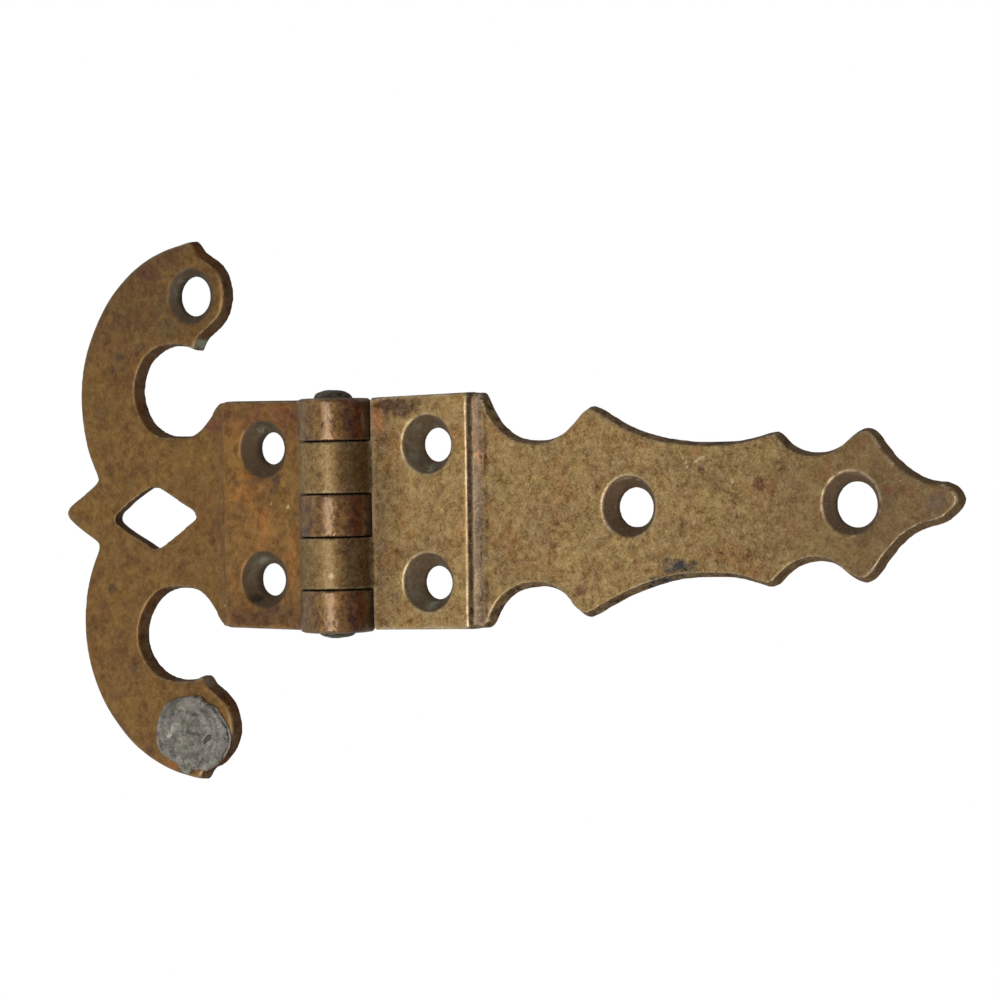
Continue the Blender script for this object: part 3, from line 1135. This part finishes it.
def metal(name, bright, metallic=0.62, rough=0.47, grain=1.0, speck=1.0, lines=1.0,
          coat=0.22, coat_rough=0.30, bump=1.0):
    """Tarnished metal. bright: the rubbed metal. grain: strength of all the speckle, speck: of its
    finer sizes. lines: strength of the fine rubs. bump: strength of the relief."""
    material = bpy.data.materials.new(name)
    n = Nodes(material)
    position = n.new("ShaderNodeTexCoord").outputs["Object"]
    worn, grime, dull, calm, polish = [
        n.attribute(mask) for mask in ("worn", "grime", "dull", "calm", "polish")]

    # felt-like speckle of the tarnish, at three sizes
    middle = n.noise(position, 2600, 2.0, 0.6, 1.2)
    coarse = n.noise(position, 900, 3.0, 0.6, 0.6)
    fine = n.noise(position, 5200, 1.0)
    lightness = n.plus(n.swing(middle, 0.32, 0.68, 0.34 * grain * speck),
                       n.swing(coarse, 0.30, 0.70, 0.34 * grain))
    lightness = n.plus(lightness, n.swing(fine, 0.3, 0.7, 0.22 * grain * speck))
    lively = n.minus(n.plus(1.0, n.times(polish, 0.8)), calm)
    lightness = n.times(lightness, lively)
    patina = n.attribute("patina", "Color")
    colour = n.blend("MULTIPLY", 1.0, patina, (1.0, 1.0, 1.0))
    colour = fleck(n, speckle(n, colour, lightness), position, grain)

    # hair-fine curved rubs, bright and dark
    rub = n.plus(threads(n, position, 620, 0.008, 1.0), threads(n, position, 980, 0.010, 2.0),
                 clamp=True)
    rub = n.times(n.times(rub, n.minus(1.0, calm)), 0.46 * lines, clamp=True)
    colour = n.blend("MIX", rub, colour, tuple(part * 0.75 for part in bright))
    dark = n.times(threads(n, position, 760, 0.012, 3.0), 0.45 * lines)
    colour = n.blend("MULTIPLY", dark, colour, (0.45, 0.40, 0.38))

    # grime in corners, bright metal on arrises
    grime = n.times(grime, n.remap(coarse, 0.35, 0.6, 0.5, 1.0))
    colour = n.blend("MULTIPLY", n.times(grime, 0.55), colour, (0.42, 0.38, 0.36))
    worn = n.times(worn, n.remap(middle, 0.35, 0.6, 0.65, 1.0))
    colour = n.blend("MIX", worn, colour, bright)

    roughness = n.plus(n.remap(coarse, 0.3, 0.7, rough - 0.06, rough + 0.07),
                       n.remap(middle, 0.3, 0.7, -0.05, 0.05))
    roughness = n.plus(roughness, n.times(dull, 0.22))
    roughness = n.minus(roughness, n.times(polish, 0.13))
    roughness = n.minus(roughness, n.times(worn, 0.12), clamp=True)
    metalness = n.minus(metallic, n.times(dull, metallic * 0.45))
    metalness = n.plus(metalness, n.times(worn, 0.25), clamp=True)

    height = n.plus(n.times(middle, 0.7), n.times(coarse, 0.6))
    height = n.plus(height, n.times(fine, 0.25))
    height = n.minus(height, n.times(rub, 0.5))
    relief = n.new("ShaderNodeBump", {
        "Strength": 0.30 * bump, "Distance": 0.00006, "Height": height}).outputs[0]

    coating = n.plus(n.times(polish, 0.60), coat)
    shader = n.new("ShaderNodeBsdfPrincipled", {
        "Base Color": colour, "Roughness": roughness, "Metallic": metalness,
        "Normal": relief, "Coat Normal": relief,
        "Coat Weight": n.times(coating, n.minus(1.0, dull), clamp=True),
        "Specular IOR Level": n.minus(0.5, n.times(dull, 0.35)),
        "Coat Roughness": coat_rough, "Coat IOR": 1.5})
    n.new("ShaderNodeOutputMaterial", {"Surface": shader.outputs[0]})
    return material


def dress(ob, node, body, material):
    mesh = ob.data
    mesh.materials.clear()
    mesh.materials.append(material)
    mesh.polygons.foreach_set("use_smooth", np.ones(len(mesh.polygons), bool))
    mesh.update()
    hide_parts(node)
    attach(ob, body)


dress(build_strap(), "strap_leaf", "strap_side",
      metal("tarnished_strap_brass", bright=(0.62, 0.51, 0.34), lines=1.5, speck=0.84))
dress(build_frame(), "frame_leaf", "frame_side",
      metal("tarnished_frame_brass", bright=(0.50, 0.38, 0.22), rough=0.50, grain=0.74,
            speck=0.46, lines=0.5, coat_rough=0.28))
dress(build_pin(), "hinge_pin", "frame_side",
      metal("dull_pin_steel", bright=(0.34, 0.31, 0.25), metallic=0.5, rough=0.52, grain=1.2,
            coat=0.1, lines=0.2))
dress(build_plug(), "lead_plug", "frame_side",
      metal("smeared_lead", bright=(0.50, 0.49, 0.47), metallic=0.35, rough=0.52, grain=0.78,
            coat=0.12, bump=1.5, lines=0.3))

# ------------------------------------------------------------------ camera
TURN, RISE, ROLL = 0.5765436, 0.0105696, 0.0192221  # radians: round to +X, up, about its own axis
DISTANCE = 564.882                                  # mm, from the middle of the pin
PIN_RIGHT, PIN_UP = -27.182, -2.002                 # mm, the pin in the unrolled view
right = Vector((math.cos(TURN), math.sin(TURN), 0))
up = Vector((-math.sin(TURN) * math.sin(RISE), math.cos(TURN) * math.sin(RISE), math.cos(RISE)))
back = Vector((math.sin(TURN) * math.cos(RISE), -math.cos(TURN) * math.cos(RISE),
               math.sin(RISE)))


def add_camera():
    data = bpy.data.cameras.new("camera")
    data.sensor_width = 36.0
    data.lens = 123.265
    data.clip_start = 0.01
    data.clip_end = 20.0
    camera = bpy.data.objects.new("camera", data)
    scene.collection.objects.link(camera)
    place = -PIN_RIGHT * right - PIN_UP * up + DISTANCE * back + Vector((0, PIN_Y, 0))
    rolled_right = math.cos(ROLL) * right - math.sin(ROLL) * up
    rolled_up = math.sin(ROLL) * right + math.cos(ROLL) * up
    matrix = Matrix((rolled_right, rolled_up, back)).transposed().to_4x4()
    matrix.translation = [part * MM for part in place]
    camera.matrix_world = matrix
    scene.camera = camera


# ------------------------------------------------------------------ light
KEY_POWER = 9.0
WORLD_STRENGTH = 1.03
# brightness round the hinge: degrees from the front, + towards the strap's tip; level
AROUND = [
    (-180, 0.30), (-150, 0.42), (-95, 0.50), (-62, 0.70), (-45, 0.82), (-22, 0.55),
    (0, 0.35), (25, 0.16), (60, 0.08), (120, 0.07), (165, 0.16), (180, 0.30)]
# brightness from straight down, -1, to straight up, 1; level
UPRIGHT = [(-1.0, 0.9), (-0.4, 1.0), (0.0, 1.0), (0.5, 0.9), (1.0, 0.8)]


def add_key_light():
    """Tall soft box in front of the hinge, a little below it and towards the strap's tip."""
    turn, rise, distance = math.radians(12), math.radians(-16), 1.1
    away = Vector((math.sin(turn) * math.cos(rise), -math.cos(turn) * math.cos(rise),
                   math.sin(rise)))
    data = bpy.data.lights.new("key", "AREA")
    data.shape = "RECTANGLE"
    data.size = 0.34
    data.size_y = 1.30
    data.energy = KEY_POWER
    data.color = (1.0, 0.985, 0.96)
    key = bpy.data.objects.new("key", data)
    scene.collection.objects.link(key)
    key.location = away * distance + Vector((0.02, 0, 0))
    key.rotation_euler = away.to_track_quat("Z", "Y").to_euler()
    key.visible_camera = False


def grey_ramp(n, factor, stops):
    node = n.new("ShaderNodeValToRGB", {0: factor})
    node.color_ramp.interpolation = "EASE"
    elements = node.color_ramp.elements
    while len(elements) > 1:
        elements.remove(elements[-1])
    for i, (position, level) in enumerate(stops):
        # every stop is made at the middle and then moved, which settles their stored order
        element = elements[0] if i == 0 else elements.new(0.5)
        element.position = position
        element.color = (level, level, level, 1)
    return node.outputs[0]


def add_world():
    """Grey surroundings for the metal to mirror; plain white to the camera."""
    world = bpy.data.worlds.new("studio")
    scene.world = world
    n = Nodes(world)
    direction = n.new("ShaderNodeTexCoord").outputs["Generated"]
    x, y, z = n.new("ShaderNodeSeparateXYZ", {0: direction}).outputs
    turn = n.math("ARCTAN2", x, n.times(y, -1.0))
    turn = n.plus(n.math("DIVIDE", turn, 2 * math.pi), 0.5)
    around = grey_ramp(n, turn, [((degrees + 180) / 360, level) for degrees, level in AROUND])
    upright = grey_ramp(n, n.plus(n.times(z, 0.5), 0.5),
                        [((height + 1) / 2, level) for height, level in UPRIGHT])
    mirrored = n.new("ShaderNodeBackground", {
        "Color": n.blend("MULTIPLY", 1.0, around, upright), "Strength": WORLD_STRENGTH})
    white = n.new("ShaderNodeBackground", {"Color": (1, 1, 1, 1), "Strength": 1.0})
    seen = n.new("ShaderNodeLightPath").outputs["Is Camera Ray"]
    pick = n.new("ShaderNodeMixShader", {0: seen, 1: mirrored.outputs[0], 2: white.outputs[0]})
    n.new("ShaderNodeOutputWorld", {"Surface": pick.outputs[0]})


# ------------------------------------------------------------------ floor, metres
FLOOR_Z = -0.115
FLOOR_TOP = 1.6
FLOOR_HALF_WIDTH = 2.2
FLOOR_FRONT, FLOOR_BACK = 1.4, -1.0                 # ends of the flat, towards the camera and away
SWEEP_RADIUS = 0.6


def add_floor():
    """A plain white sweep, curving up behind."""
    profile = []                                      # distance towards the camera, height
    for i in range(25):
        t = i / 24
        if t < 0.5:
            profile.append((FLOOR_FRONT - t * 2 * (FLOOR_FRONT - FLOOR_BACK), FLOOR_Z))
        else:
            angle = (t - 0.5) * math.pi
            profile.append((FLOOR_BACK - SWEEP_RADIUS * math.sin(angle),
                            FLOOR_Z + SWEEP_RADIUS * (1 - math.cos(angle))))
    profile.append((FLOOR_BACK - SWEEP_RADIUS, FLOOR_TOP))
    side = Vector((right.x, right.y, 0)).normalized() * FLOOR_HALF_WIDTH
    mesh = bpy.data.meshes.new("floor")
    bm = bmesh.new()
    rows = []
    for distance, z in profile:
        centre = Vector((back.x * distance, back.y * distance, z))
        rows.append([bm.verts.new(centre + side * end) for end in (-1, 1)])
    for a, b in zip(rows, rows[1:]):
        bm.faces.new((a[0], a[1], b[1], b[0]))
    bm.normal_update()
    bm.to_mesh(mesh)
    bm.free()
    floor = bpy.data.objects.new("floor", mesh)
    scene.collection.objects.link(floor)
    material = bpy.data.materials.new("white_sweep")
    n = Nodes(material)
    glow = n.new("ShaderNodeEmission", {"Color": (1, 1, 1, 1), "Strength": 1.0})
    n.new("ShaderNodeOutputMaterial", {"Surface": glow.outputs[0]})
    mesh.materials.append(material)
    floor.visible_diffuse = False
    floor.visible_glossy = False
    floor.visible_shadow = False


add_camera()
add_key_light()
add_world()
add_floor()
